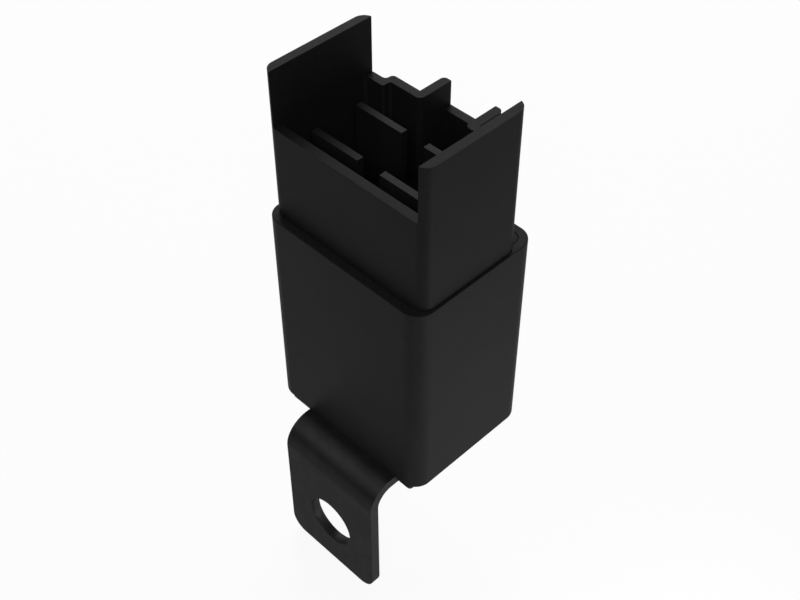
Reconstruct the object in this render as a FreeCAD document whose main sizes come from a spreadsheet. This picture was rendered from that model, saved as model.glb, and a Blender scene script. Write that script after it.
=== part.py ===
"""Sealed automotive relay with a connector shroud and a steel fixing bracket.

The origin is the centre of the bracket's fixing hole, on the tab's front face. +Z runs up towards
the blades, -Y looks out of the tab's front face and +X runs along the blades.

The relay itself is modelled in its own frame: X and Y from the middle of the shroud, Z from the
rim of the cover. Pieces that move with the armature are modelled in the hinge's frame, lying
flat, and their placement turns them to the open position.
"""

import FreeCAD, Part
import math
import os
import re

import Sketcher

os.makedirs("parts", exist_ok=True)
doc = FreeCAD.newDocument("relay")

# Driving dimensions, in millimetres and degrees
SIZES = [
    ("cover_width", "21.5", "outside of the cover along X"),
    ("cover_depth", "16.5", "outside of the cover along Y"),
    ("cover_height", "25.9", "from the cover's closed end to its rim"),
    ("cover_radius", "2.0", "upright corners of the cover"),
    ("cover_inner", "1.0", "upright corners inside the cover"),
    ("cover_wall", "1.0", "side walls of the cover"),
    ("cover_floor", "1.2", "closed end of the cover"),
    ("side_ledge", "0.3", "from the cover's side faces in to the shroud"),
    ("front_ledge", "1.1", "from the cover's front face back to the shroud"),
    ("back_ledge", "2.45", "from the cover's back face in to the shroud"),
    ("shroud_wall", "1.0", "walls of the shroud"),
    ("shroud_radius", "1.3", "upright corners of the shroud"),
    ("shroud_inner", "0.3", "upright corners inside the shroud"),
    ("tall_wall", "16.9", "height of the two side walls above the rim"),
    ("low_wall", "10.6", "height of the front and back walls above the rim"),
    ("latch_bar", "7.75", "height of the latch bar above the rim"),
    ("step_width", "15.25", "outside of the stepped part of the back wall"),
    ("step_out", "1.0", "how far the back wall steps out"),
    ("step_radius", "0.45", "rounding of that step outside"),
    ("step_inner", "0.25", "rounding of that step inside"),
    ("step_lean", "0.65", "how much narrower the step is inside, each side"),
    ("bay_width", "5.8", "inside of the latch bay along X"),
    ("bay_reach", "4.35", "from the shroud's back face to the bay's"),
    ("bay_radius", "0.5", "outer corners of the latch bay"),
    ("bay_root", "0.65", "inner corners where the latch bay starts"),
    ("bay_floor", "1.0", "floor of the latch bay"),
    ("base_plate", "2.4", "thickness of the base inside the cover"),
    ("plug_gap", "0.05", "between the base and the cover, all round"),
    ("seal_depth", "0.6", "depth of the sealing compound"),
    ("seal_inset", "0.8", "from the shroud's inner face to the compound"),
    ("seal_radius", "1.0", "corners of the compound"),
    ("glue_cover", "0.4", "from the rim down to the adhesive ring"),
    ("glue_height", "0.8", "height of the adhesive ring"),
    ("glue_depth", "0.6", "how far the adhesive ring goes into the base"),
    ("blade_width", "6.3", "width of a blade"),
    ("blade_thick", "0.8", "thickness of a blade"),
    ("blade_reach", "9.5", "height of the blades above the rim"),
    ("blade_column", "9.2", "between the two columns of blades"),
    ("blade_row", "5.75", "between the two rows of blades"),
    ("slot_gap", "0.05", "round a terminal in its slot"),
    ("leg_width", "2.6", "inner leg of a load terminal"),
    ("root_width", "4.0", "load terminal where it goes through the base"),
    ("coil_root", "3.2", "coil terminal where it goes through the base"),
    ("lug_width", "1.6", "lug of a coil terminal"),
    ("lug_inset", "0.4", "from the outer edge of the blade or the flange to a lug"),
    ("lug_gap", "0.1", "between the base and a lug"),
    ("lug_rest", "0.25", "lug beyond the resistor's lead"),
    ("wiring_room", "2.9", "between the base and the yoke"),
    ("contact_room", "4.6", "between the pole face and the cover's floor"),
    ("yoke_gap", "0.6", "between the yoke and the cover's wall"),
    ("yoke_thick", "1.2", "sheet of the yoke"),
    ("yoke_width", "8.0", "width of the yoke"),
    ("yoke_bend", "1.0", "outer radius of the yoke's bend"),
    ("rib_inset", "0.05", "from the yoke's edges to the ribs that hold it"),
    ("core_radius", "2.0", "shaft of the core"),
    ("spigot_radius", "1.5", "end of the core riveted in the yoke"),
    ("core_head", "0.3", "height of that riveted head"),
    ("pole_radius", "3.5", "pole face of the core"),
    ("pole_thick", "1.0", "thickness of the pole face"),
    ("core_gap", "0.05", "between the core and the pieces it goes through"),
    ("tube_wall", "0.85", "tube of the bobbin"),
    ("flange_thick", "0.9", "flanges of the bobbin"),
    ("flange_radius", "0.7", "corners of the flanges"),
    ("flange_lip", "0.4", "from the winding out to the flange's edge"),
    ("flange_gap", "0.2", "between the yoke and the bobbin"),
    ("winding_gap", "0.03", "between the winding and the bobbin"),
    ("peg_radius", "0.7", "pegs of the bobbin in the base"),
    ("peg_depth", "0.9", "how far pegs and back stop go into the base"),
    ("peg_inset", "0.15", "from the flange's edge to a peg"),
    ("boss_size", "2.8", "outside of the spring's seat"),
    ("boss_gap", "0.2", "between the spring's seat and the terminal legs"),
    ("boss_height", "3.5", "height of the spring's seat"),
    ("seat_depth", "3.0", "depth of the spring's seat"),
    ("seat_gap", "0.15", "round the spring in its seat"),
    ("spring_size", "1.6", "outside of the return spring"),
    ("spring_wire", "0.25", "wire of the return spring"),
    ("spring_pitch", "1.5", "pitch of the return spring"),
    ("spring_top_gap", "0.05", "between the spring and the end of its seat"),
    ("spring_low_gap", "0.1", "between the spring and the open armature"),
    ("armature_thick", "1.2", "sheet of the armature"),
    ("armature_width", "9.0", "width of the armature"),
    ("tongue_width", "4.0", "tongue of the armature under the spring"),
    ("tongue_past", "0.7", "tongue beyond the spring's axis"),
    ("heel_gap", "0.15", "from the hinge line to the armature's heel"),
    ("closed_gap", "0.05", "left at pole and contacts when pulled in"),
    ("open_angle", "4.0", "turn of the armature from pulled in to open"),
    ("clip_thick", "0.3", "sheet of the hinge clip"),
    ("clip_width", "5.0", "width of the hinge clip"),
    ("clip_lip", "1.65", "lip of the hinge clip under the heel"),
    ("clip_height", "9.5", "height of the clip on the yoke"),
    ("clip_gap", "0.1", "between the clip's lip and the open heel"),
    ("clip_rivet", "0.7", "shank of the clip's rivet"),
    ("clip_head", "1.1", "heads of the clip's rivet"),
    ("clip_rise", "0.15", "height of those heads"),
    ("leaf_thick", "0.25", "sheet of the contact leaf"),
    ("leaf_width", "6.0", "width of the contact leaf"),
    ("leaf_start", "3.2", "from the hinge line to the leaf"),
    ("leaf_tip", "2.1", "leaf beyond the middle of its contact"),
    ("leaf_tab", "2.5", "tab of the leaf towards the braid"),
    ("tab_margin", "0.5", "that tab beyond the braid, each side"),
    ("rivet_inset", "1.5", "from the leaf's edges to its rivets"),
    ("rivet_radius", "0.6", "shank of the leaf's rivets"),
    ("rivet_sink", "0.35", "countersunk end of the leaf's rivets"),
    ("rivet_head", "0.3", "height of a rivet's head"),
    ("head_radius", "0.95", "head of the leaf's rivets"),
    ("rivet_gap", "0.03", "round a rivet in its hole"),
    ("contact_radius", "1.3", "face of a contact"),
    ("contact_height", "0.7", "height of a contact's face above its carrier"),
    ("contact_shank", "0.75", "shank of a contact"),
    ("stop_thick", "0.5", "sheet of the back stop"),
    ("stop_width", "3.0", "width of the back stop"),
    ("stop_gap", "0.1", "between the open leaf and the back stop"),
    ("stop_lip", "0.5", "how far the back stop reaches under the leaf"),
    ("stop_wall_gap", "0.3", "between the back stop and the cover's wall"),
    ("braid_radius", "0.5", "braid from the common terminal"),
    ("braid_bow", "0.8", "how far the braid stands off that terminal"),
    ("braid_bend", "0.7", "bend of the braid"),
    ("braid_top", "3.0", "from the pole face up to the braid's upper end"),
    ("braid_gap", "0.06", "between the braid and the open leaf"),
    ("weld_land", "0.4", "terminal beyond the braid's weld"),
    ("resistor_radius", "0.8", "body of the resistor"),
    ("resistor_length", "3.4", "body of the resistor"),
    ("resistor_lead", "0.25", "leads of the resistor"),
    ("resistor_drop", "1.0", "from the lugs down to the resistor's axis"),
    ("wire_radius", "0.15", "enamelled lead of the coil"),
    ("wire_gap", "0.05", "between that lead and the pieces beside it"),
    ("wire_drop", "0.6", "from the upper flange down to that lead"),
    ("lead_bend", "0.4", "bend of the leads"),
    ("hole_drop", "11.2", "from the cover's closed end down to the fixing hole"),
    ("hole_radius", "3.15", "fixing hole"),
    ("tab_stand", "3.7", "from the tab's front face back to the cover"),
    ("tab_offset", "0.95", "from the relay's middle to the fixing hole, along X"),
    ("tab_width", "13.45", "width of the tab"),
    ("tab_end", "6.8", "from the fixing hole down to the tab's end"),
    ("tab_radius", "2.0", "lower corners of the tab"),
    ("sheet_thick", "1.2", "sheet of the bracket"),
    ("sheet_bend", "2.0", "inner radius of the bracket's bend"),
    ("plate_side", "1.35", "from the cover's side faces in to the bracket plate"),
    ("plate_inset", "0.55", "from the cover's front and back in to that plate"),
    ("plate_radius", "0.4", "corners of the bracket plate"),
    ("stake_radius", "1.25", "staking pegs of the cover"),
    ("stake_pitch", "12.0", "between the two staking pegs"),
    ("stake_head", "2.1", "radius of a staked head"),
    ("stake_rise", "0.7", "height of a staked head"),
    ("stake_bevel", "0.4", "bevel of a staked head"),
    ("stake_gap", "0.05", "round a staking peg in the bracket"),
]

# Places worked out from the sizes, in the relay's frame unless the name says otherwise
PLACES = [
    ("shroud_half", "cover_width / 2 - side_ledge"),
    ("shroud_depth", "cover_depth - front_ledge - back_ledge"),
    ("relay_x", "-tab_offset"),
    ("relay_y", "tab_stand + front_ledge + shroud_depth / 2"),
    ("relay_z", "hole_drop + cover_height"),
    ("front_y", "-shroud_depth / 2"),
    ("back_y", "shroud_depth / 2"),
    ("mouth_half", "shroud_half - shroud_wall"),
    ("mouth_front", "front_y + shroud_wall"),
    ("mouth_back", "back_y - shroud_wall"),
    ("step_half", "step_width / 2"),
    ("step_round", "min(step_radius; step_out * 0.45)"),
    ("shroud_round", "min(shroud_radius; (shroud_half - step_half - step_round) * 0.9)"),
    ("step_back", "back_y + step_out"),
    ("bay_half", "bay_width / 2"),
    ("bay_back", "back_y + bay_reach"),
    ("bay_inside", "bay_back - shroud_wall"),
    ("cover_front", "front_y - front_ledge"),
    ("cover_back", "back_y + back_ledge"),
    ("middle_y", "(cover_front + cover_back) / 2"),
    ("inside_x", "cover_width / 2 - cover_wall"),
    ("inside_front", "cover_front + cover_wall"),
    ("inside_back", "cover_back - cover_wall"),
    ("plug_x", "inside_x - plug_gap"),
    ("plug_front", "inside_front + plug_gap"),
    ("plug_back", "inside_back - plug_gap"),
    ("plug_radius", "cover_inner - plug_gap"),
    ("base_under", "-base_plate"),
    ("glue_top", "-glue_cover"),
    ("glue_under", "-glue_cover - glue_height"),
    ("glue_x", "plug_x - glue_depth"),
    ("glue_front", "plug_front + glue_depth"),
    ("glue_back", "plug_back - glue_depth"),
    ("seal_x", "mouth_half - seal_inset"),
    ("seal_front", "mouth_front + seal_inset"),
    ("seal_back", "mouth_back - seal_inset"),
    ("seal_under", "-seal_depth"),
    ("leg_right", "blade_column / 2 + blade_width / 2"),
    ("leg_left", "leg_right - leg_width"),
    ("contact_x", "leg_right - leg_width / 2"),
    ("lug_left", "max(lug_inset - leg_right; flange_left + lug_inset)"),
    ("lug_right", "lug_left + lug_width"),
    ("lug_top", "base_under - lug_gap"),
    ("lug_under", "lug_top - blade_thick"),
    ("resistor_z", "lug_under - resistor_drop"),
    ("yoke_out", "yoke_gap - inside_x"),
    ("yoke_in", "yoke_out + yoke_thick"),
    ("yoke_top", "base_under - wiring_room"),
    ("yoke_front", "middle_y - yoke_width / 2"),
    ("yoke_back", "middle_y + yoke_width / 2"),
    ("bobbin_top", "yoke_top - yoke_thick"),
    ("pole_face", "contact_room + cover_floor - cover_height"),
    ("bobbin_end", "pole_face + pole_thick"),
    ("boss_x", "leg_left - boss_gap - boss_size / 2"),
    ("flange_left", "yoke_in + flange_gap"),
    ("flange_right", "boss_x - boss_size / 2"),
    ("flange_half", "(flange_right - flange_left) / 2"),
    ("coil_x", "(flange_right + flange_left) / 2"),
    ("yoke_end", "coil_x + core_radius + yoke_thick"),
    ("tube_radius", "core_radius + core_gap + tube_wall"),
    ("coil_radius", "flange_half - flange_lip"),
    ("peg_x", "flange_right - peg_inset - peg_radius"),
    ("peg_y", "flange_half - peg_inset - peg_radius"),
    ("peg_top", "base_under + peg_depth"),
    ("hinge_z", "pole_face - closed_gap"),
    ("rivet_z", "pole_face + clip_height / 2"),
    ("arm_contact", "contact_x - yoke_out"),
    ("arm_spring", "boss_x - yoke_out"),
    ("arm_tip", "arm_contact + leaf_tip"),
    ("arm_main", "flange_right - yoke_out"),
    ("tongue_end", "arm_spring + tongue_past"),
    ("rivet_x", "leaf_start + rivet_inset"),
    ("rivet_y", "leaf_width / 2 - rivet_inset"),
    ("leaf_under", "armature_thick + leaf_thick"),
    ("fixed_face", "hinge_z - armature_thick + contact_height + closed_gap"),
    ("foot_under", "fixed_face + contact_height"),
    ("foot_top", "foot_under + blade_thick"),
    ("tip_drop", "arm_tip * sin(open_angle * 1 deg) + leaf_under * cos(open_angle * 1 deg)"),
    ("tip_x", "yoke_out + arm_tip * cos(open_angle * 1 deg) - leaf_under * sin(open_angle * 1 deg)"),
    ("stop_top", "hinge_z - tip_drop - stop_gap"),
    ("stop_right", "inside_x - stop_wall_gap"),
    ("stop_left", "stop_right - stop_thick"),
    ("heel_drop", "clip_lip * sin(open_angle * 1 deg) + armature_thick * cos(open_angle * 1 deg)"),
    ("lip_top", "hinge_z - heel_drop - clip_gap"),
    ("seat_top", "bobbin_end + seat_depth"),
    ("spring_high", "seat_top - spring_top_gap - spring_wire / 2"),
    ("spring_low", "hinge_z - arm_spring * sin(open_angle * 1 deg) + spring_low_gap + spring_wire / 2"),
    ("braid_y", "-blade_row / 2 - blade_thick / 2 - braid_bow"),
    ("braid_up", "pole_face + braid_top"),
    ("leaf_drop", "arm_contact * sin(open_angle * 1 deg) + armature_thick * cos(open_angle * 1 deg)"),
    ("braid_low", "hinge_z - leaf_drop + braid_gap"),
    ("wire_y", "flange_half + wire_gap + wire_radius"),
    ("wire_x", "lug_left + wire_radius * 2"),
    ("wire_z", "bobbin_top - flange_thick - wire_drop"),
    ("wire_side", "coil_x - wire_x - wire_radius"),
    ("wire_end", "sqrt(coil_radius * coil_radius - wire_side * wire_side) + wire_gap"),
    ("lead_x", "lug_right - resistor_lead * 2"),
    ("lead_y", "wire_y + wire_radius + resistor_lead * 2"),
    ("lug_reach", "lead_y + resistor_lead + lug_rest"),
    ("plate_half", "cover_width / 2 - plate_side"),
    ("plate_front", "tab_stand + plate_inset"),
    ("plate_back", "tab_stand + cover_depth - plate_inset"),
    ("plate_top", "hole_drop"),
    ("plate_under", "hole_drop - sheet_thick"),
    ("stake_top", "-cover_height - sheet_thick"),
    ("stake_under", "stake_top - stake_rise"),
]


def make_sheet(name, rows):
    """Put the rows into a spreadsheet, with each value under its name."""
    sheet = doc.addObject("Spreadsheet::Sheet", name)
    for line, row in enumerate(rows, start=1):
        sheet.set(f"A{line}", row[0])
        sheet.set(f"B{line}", row[1])
        sheet.setAlias(f"B{line}", row[0])
        if len(row) > 2:
            sheet.set(f"C{line}", row[2])
    return sheet


SIZE_NAMES = {row[0] for row in SIZES}
PLACE_NAMES = {row[0] for row in PLACES}


def tie(text, places="Places."):
    """Turn a formula in plain names into one that reads the sheets."""
    def full(match):
        word = match.group(0)
        if word in SIZE_NAMES:
            return "Sizes." + word
        if word in PLACE_NAMES:
            return places + word
        return word
    return re.sub(r"[a-z]+(?:_[a-z]+)*", full, text)


sizes = make_sheet("Sizes", SIZES)
doc.recompute()
make_sheet("Places", [(name, "=" + tie(text, "")) for name, text in PLACES])
doc.recompute()


def value(text):
    """Read a formula's value now."""
    result = sizes.evalExpression(tie(text))
    return float(getattr(result, "Value", result))


# Sketches and features

FACING = {"XY_Plane": 1, "XZ_Plane": -1, "YZ_Plane": 1}
UPWARD = FreeCAD.Vector(0, 0, 1)
SAME_LENGTH = 1e-4
made = []


def new_body(label):
    """Start a sub-part built from sketches."""
    body = doc.addObject("PartDesign::Body", label)
    body.Label = label
    made.append(body)
    return body


def place_in_relay(item):
    """Place a sub-part that is modelled in the relay's frame."""
    item.setExpression("Placement.Base.x", tie("relay_x"))
    item.setExpression("Placement.Base.y", tie("relay_y"))
    item.setExpression("Placement.Base.z", tie("relay_z"))


def place_on_hinge(item):
    """Place a sub-part that turns with the armature, in its open position."""
    item.Placement = FreeCAD.Placement(FreeCAD.Vector(), FreeCAD.Rotation(FreeCAD.Vector(0, 1, 0), 1))
    item.setExpression("Placement.Base.x", tie("relay_x + yoke_out"))
    item.setExpression("Placement.Base.y", tie("relay_y + middle_y"))
    item.setExpression("Placement.Base.z", tie("relay_z + hinge_z"))
    item.setExpression("Placement.Rotation.Angle", tie("open_angle * 1 deg"))


def hold(sketch, kind, geometry, point, text):
    """Hold one coordinate of a point at a formula's value."""
    index = sketch.addConstraint(Sketcher.Constraint(kind, -1, 1, geometry, point, value(text)))
    sketch.setExpression(f"Constraints[{index}]", tie(text))


def hold_radius(sketch, geometry, text):
    """Hold a radius at a formula's value."""
    index = sketch.addConstraint(Sketcher.Constraint("Radius", geometry, value(text)))
    sketch.setExpression(f"Constraints[{index}]", tie(text))


def hold_line(sketch, line, run, corner):
    """Keep a line level or upright, at its corner's height or side."""
    level = abs(run.x) > abs(run.y)
    sketch.addConstraint(Sketcher.Constraint("Horizontal" if level else "Vertical", line))
    hold(sketch, "DistanceY" if level else "DistanceX", line, 1, corner[1 if level else 0])


def draw_circle(sketch, across, up, radius):
    """Draw a circle whose middle and radius are formulas."""
    centre = FreeCAD.Vector(value(across), value(up), 0)
    index = sketch.addGeometry(Part.Circle(centre, UPWARD, value(radius)), False)
    hold(sketch, "DistanceX", index, 3, across)
    hold(sketch, "DistanceY", index, 3, up)
    hold_radius(sketch, index, radius)


def draw_wire(sketch, across, up, radius, flats=6):
    """Draw a wire's section as a regular outline of flats inside a circle given by formulas."""
    draw_circle(sketch, across, up, radius)
    circle = sketch.GeometryCount - 1
    sketch.toggleConstruction(circle)
    centre = FreeCAD.Vector(value(across), value(up), 0)
    turns = [2 * math.pi * i / flats for i in range(flats)]
    spots = [centre + FreeCAD.Vector(math.cos(turn), math.sin(turn), 0) * value(radius) for turn in turns]
    lines = [sketch.addGeometry(Part.LineSegment(spots[i], spots[(i + 1) % flats]), False)
             for i in range(flats)]
    for i in range(flats):
        sketch.addConstraint(Sketcher.Constraint("Coincident", lines[i - 1], 2, lines[i], 1))
        sketch.addConstraint(Sketcher.Constraint("PointOnObject", lines[i], 1, circle))
    for line in lines[1:]:
        sketch.addConstraint(Sketcher.Constraint("Equal", lines[0], line))
    hold(sketch, "DistanceY", lines[0], 1, up)


def draw_corner(sketch, before, after, spot, run_in, run_out, radius):
    """Join two square lines at a spot by an arc whose radius is a formula."""
    size = value(radius)
    start = spot - run_in * size
    end = spot + run_out * size
    centre = start + run_out * size
    arrive = math.atan2(start.y - centre.y, start.x - centre.x)
    leave = math.atan2(end.y - centre.y, end.x - centre.x)
    left_turn = run_in.cross(run_out).z > 0
    sweep = (arrive, leave) if left_turn else (leave, arrive)
    arc = sketch.addGeometry(Part.ArcOfCircle(Part.Circle(centre, UPWARD, size), *sweep), False)
    first, last = (1, 2) if left_turn else (2, 1)
    sketch.addConstraint(Sketcher.Constraint("Tangent", before, 2, arc, first))
    sketch.addConstraint(Sketcher.Constraint("Tangent", arc, last, after, 1))
    hold_radius(sketch, arc, radius)


def draw_outline(sketch, corners):
    """Draw a closed outline of level and upright edges.

    Each corner is (across, up) or (across, up, radius), all formulas.
    """
    points = [FreeCAD.Vector(value(corner[0]), value(corner[1]), 0) for corner in corners]
    radii = [value(corner[2]) if len(corner) > 2 else 0.0 for corner in corners]
    count = len(corners)
    runs = [(points[(i + 1) % count] - points[i]).normalize() for i in range(count)]
    lines = []
    for i, run in enumerate(runs):
        after = (i + 1) % count
        edge = Part.LineSegment(points[i] + run * radii[i], points[after] - run * radii[after])
        lines.append(sketch.addGeometry(edge, False))
        hold_line(sketch, lines[i], run, corners[i])
    for i in range(count):
        if radii[i] > 0.0:
            draw_corner(sketch, lines[i - 1], lines[i], points[i], runs[i - 1], runs[i], corners[i][2])
        else:
            sketch.addConstraint(Sketcher.Constraint("Coincident", lines[i - 1], 2, lines[i], 1))


def draw(sketch, loops):
    """Draw each loop: a circle as three formulas, anything else as an outline."""
    for loop in loops:
        if isinstance(loop, tuple):
            draw_circle(sketch, *loop)
        else:
            draw_outline(sketch, loop)


def new_sketch(body, name, plane, offset):
    """Start a sketch on one of the body's own planes, moved along its normal."""
    sketch = body.newObject("Sketcher::SketchObject", name)
    support = [item for item in body.Origin.OriginFeatures if item.Role == plane]
    sketch.AttachmentSupport = [(support[0], "")]
    sketch.MapMode = "FlatFace"
    sketch.setExpression("AttachmentOffset.Base.z", tie(offset))
    return sketch


def add(body, name, plane, loops, low, high):
    """Add material inside the loops between two heights along the plane's axis."""
    offset = low if FACING[plane] > 0 else f"-({high})"
    sketch = new_sketch(body, name + "_sketch", plane, offset)
    draw(sketch, loops)
    pad = body.newObject("PartDesign::Pad", name)
    pad.Profile = sketch
    pad.setExpression("Length", tie(f"({high}) - ({low})"))
    doc.recompute()


def cut(body, name, plane, loops, low, high):
    """Take material away inside the loops between two heights along the plane's axis."""
    offset = high if FACING[plane] > 0 else f"-({low})"
    before = body.Shape.Volume
    sketch = new_sketch(body, name + "_sketch", plane, offset)
    draw(sketch, loops)
    pocket = body.newObject("PartDesign::Pocket", name)
    pocket.Profile = sketch
    pocket.setExpression("Length", tie(f"({high}) - ({low})"))
    doc.recompute()
    if body.Shape.Volume >= before:
        raise RuntimeError(f"{name} cuts nothing")


def turn(body, name, profile, axis_x, axis_y):
    """Add a turned piece, whose profile is drawn from an upright axis."""
    sketch = new_sketch(body, name + "_sketch", "XZ_Plane", f"-({axis_y})")
    sketch.setExpression("AttachmentOffset.Base.x", tie(axis_x))
    draw(sketch, [profile])
    spin = body.newObject("PartDesign::Revolution", name)
    spin.Profile = sketch
    spin.ReferenceAxis = (sketch, ["V_Axis"])
    spin.Angle = 360.0
    doc.recompute()


def ease_edges(body, kind, name, size, wanted):
    """Fillet or chamfer the edges that the test picks out of the shape so far."""
    base = body.Tip
    names = [f"Edge{i}" for i, edge in enumerate(base.Shape.Edges, start=1) if wanted(edge)]
    if not names:
        raise RuntimeError(f"{name} finds no edge")
    feature = body.newObject("PartDesign::" + kind, name)
    feature.Base = (base, names)
    feature.setExpression("Radius" if kind == "Fillet" else "Size", tie(size))
    doc.recompute()


def lies_at(height):
    """Make the test for edges that lie level at a height."""
    level = value(height)
    return lambda edge: all(abs(vertex.Z - level) < SAME_LENGTH for vertex in edge.Vertexes)


def box(left, right, near, far, radius=None):
    """Outline of a rectangle given by the formulas of its sides."""
    corners = [(left, near), (right, near), (right, far), (left, far)]
    return [corner + (radius,) for corner in corners] if radius else corners


# Base with shroud and latch bay

def bay_outline(near, half, corner, step, bay):
    """Outline of the shroud with its stepped back wall and its latch bay.

    near is the front, half half the width. corner is (back, radius), step is (half width, back,
    radius) and bay is (half width, back, outer radius, root radius). No radius is None.
    """
    def spot(across, up, radius):
        return (across, up, radius) if radius else (across, up)

    right = [spot(half, near, corner[1]), spot(half, corner[0], corner[1]),
             spot(step[0], corner[0], step[2]), spot(step[0], step[1], step[2]),
             spot(bay[0], step[1], bay[3]), spot(bay[0], bay[1], bay[2])]
    left = [(f"-({place[0]})",) + place[1:] for place in reversed(right)]
    return right + left


def make_base():
    """Base: a plate in the cover's mouth, the shroud above it and the latch bay behind."""
    body = new_body("base_shroud")
    place_in_relay(body)
    plug = box("-plug_x", "plug_x", "plug_front", "plug_back", "plug_radius")
    add(body, "plug", "XY_Plane", [plug], "base_under", "0")
    outside = bay_outline("front_y", "shroud_half", ("back_y", "shroud_round"),
                          ("step_half", "step_back", "step_round"),
                          ("bay_half + shroud_wall", "bay_back", "bay_radius", None))
    add(body, "shroud", "XY_Plane", [outside], "0", "tall_wall")
    inside = bay_outline("mouth_front", "mouth_half", ("mouth_back", "shroud_inner"),
                         ("step_half - step_lean", "step_back - shroud_wall", "step_inner"),
                         ("bay_half", "bay_inside", None, "bay_root"))
    cut(body, "mouth", "XY_Plane", [inside], "0", "tall_wall")
    between = box("-mouth_half", "mouth_half", "front_y", "bay_back")
    cut(body, "low_walls", "XY_Plane", [between], "low_wall", "tall_wall")
    bar = box("-bay_half", "bay_half", "bay_inside", "bay_back")
    cut(body, "bar_top", "XY_Plane", [bar], "latch_bar", "low_wall")
    bottom = box("-bay_half", "bay_half", "back_y", "bay_inside")
    add(body, "bay_bottom", "XY_Plane", [bottom], "0", "bay_floor")
    well = box("-seal_x", "seal_x", "seal_front", "seal_back", "seal_radius")
    cut(body, "seal_well", "XY_Plane", [well], "seal_under", "0")
    slots = []
    for row in (-1, 1):
        near = f"{row} * blade_row / 2 - blade_thick / 2 - slot_gap"
        far = f"{row} * blade_row / 2 + blade_thick / 2 + slot_gap"
        slots.append(box("leg_right - root_width - slot_gap", "leg_right + slot_gap", near, far))
        slots.append(box("-leg_right - slot_gap", "coil_root - leg_right + slot_gap", near, far))
    cut(body, "blade_slots", "XY_Plane", slots, "base_under", "seal_under")
    sockets = [("peg_x", f"middle_y + {side} * peg_y", "peg_radius + slot_gap") for side in (-1, 1)]
    sockets.append(box("stop_left - slot_gap", "stop_right + slot_gap",
                       "middle_y - stop_width / 2 - slot_gap", "middle_y + stop_width / 2 + slot_gap"))
    cut(body, "sockets", "XY_Plane", sockets, "base_under", "peg_top")
    ribs = [box("yoke_out + rib_inset", "yoke_in - rib_inset", "yoke_front", "yoke_back"),
            box("yoke_end - yoke_thick + rib_inset", "yoke_end - rib_inset", "yoke_front", "yoke_back")]
    add(body, "ribs", "XY_Plane", ribs, "yoke_top", "base_under")
    groove = [plug, box("-glue_x", "glue_x", "glue_front", "glue_back")]
    cut(body, "glue_groove", "XY_Plane", groove, "glue_under", "glue_top")


def make_seals():
    """Sealing compound round the blades, and the adhesive ring round the base."""
    seal = new_body("sealing_compound")
    place_in_relay(seal)
    loops = [box("-seal_x", "seal_x", "seal_front", "seal_back", "seal_radius")]
    for column in (-1, 1):
        for row in (-1, 1):
            loops.append(box(f"{column} * blade_column / 2 - blade_width / 2",
                             f"{column} * blade_column / 2 + blade_width / 2",
                             f"{row} * blade_row / 2 - blade_thick / 2",
                             f"{row} * blade_row / 2 + blade_thick / 2"))
    add(seal, "layer", "XY_Plane", loops, "seal_under", "0")
    ring = new_body("adhesive_ring")
    place_in_relay(ring)
    loops = [box("-inside_x", "inside_x", "inside_front", "inside_back", "cover_inner"),
             box("-glue_x", "glue_x", "glue_front", "glue_back")]
    add(ring, "bead", "XY_Plane", loops, "glue_under", "glue_top")


# Cover and bracket

def make_cover():
    """Cover: a can with rounded upright corners and two staked pegs under its closed end."""
    body = new_body("cover")
    place_in_relay(body)
    outside = box("-cover_width / 2", "cover_width / 2", "cover_front", "cover_back", "cover_radius")
    add(body, "can", "XY_Plane", [outside], "-cover_height", "0")
    inside = box("-inside_x", "inside_x", "inside_front", "inside_back", "cover_inner")
    cut(body, "hollow", "XY_Plane", [inside], "cover_floor - cover_height", "0")
    pegs = [(f"{side} * stake_pitch / 2", "middle_y", "stake_radius") for side in (-1, 1)]
    add(body, "pegs", "XY_Plane", pegs, "stake_top", "-cover_height")
    heads = [(f"{side} * stake_pitch / 2", "middle_y", "stake_head") for side in (-1, 1)]
    add(body, "heads", "XY_Plane", heads, "stake_under", "stake_top")
    ease_edges(body, "Chamfer", "head_bevels", "stake_bevel", lies_at("stake_under"))


def make_bracket():
    """Bracket: a plate under the cover, a wide bend and a tab with the fixing hole."""
    body = new_body("bracket")
    strip = [("0", "-tab_end"), ("sheet_thick", "-tab_end"), ("sheet_thick", "plate_under", "sheet_bend"),
             ("plate_front + sheet_thick", "plate_under"), ("plate_front + sheet_thick", "plate_top"),
             ("0", "plate_top", "sheet_bend + sheet_thick")]
    add(body, "strip", "YZ_Plane", [strip], "-tab_width / 2", "tab_width / 2")
    plate = box("relay_x - plate_half", "relay_x + plate_half", "plate_front", "plate_back", "plate_radius")
    add(body, "plate", "XY_Plane", [plate], "plate_under", "plate_top")
    cut(body, "fixing_hole", "XZ_Plane", [("0", "0", "hole_radius")], "0", "sheet_thick")
    holes = [(f"relay_x + {side} * stake_pitch / 2", "relay_y + middle_y", "stake_radius + stake_gap")
             for side in (-1, 1)]
    cut(body, "stake_holes", "XY_Plane", holes, "plate_under", "plate_top")
    at_end = lies_at("-tab_end")
    side = value("tab_width / 2") - SAME_LENGTH
    ease_edges(body, "Fillet", "tab_corners", "tab_radius",
               lambda edge: at_end(edge) and all(abs(vertex.X) > side for vertex in edge.Vertexes)
               and edge.Length < value("sheet_thick") + SAME_LENGTH)


# Terminals

def make_blade(body, column, row):
    """Blade of a terminal, cut off square. Gives the formulas of its two faces."""
    middle = f"{column} * blade_column / 2"
    near = f"{row} * blade_row / 2 - blade_thick / 2"
    far = f"{row} * blade_row / 2 + blade_thick / 2"
    strip = box(f"{middle} - blade_width / 2", f"{middle} + blade_width / 2", "seal_under", "blade_reach")
    add(body, "blade", "XZ_Plane", [strip], near, far)
    return near, far


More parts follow.
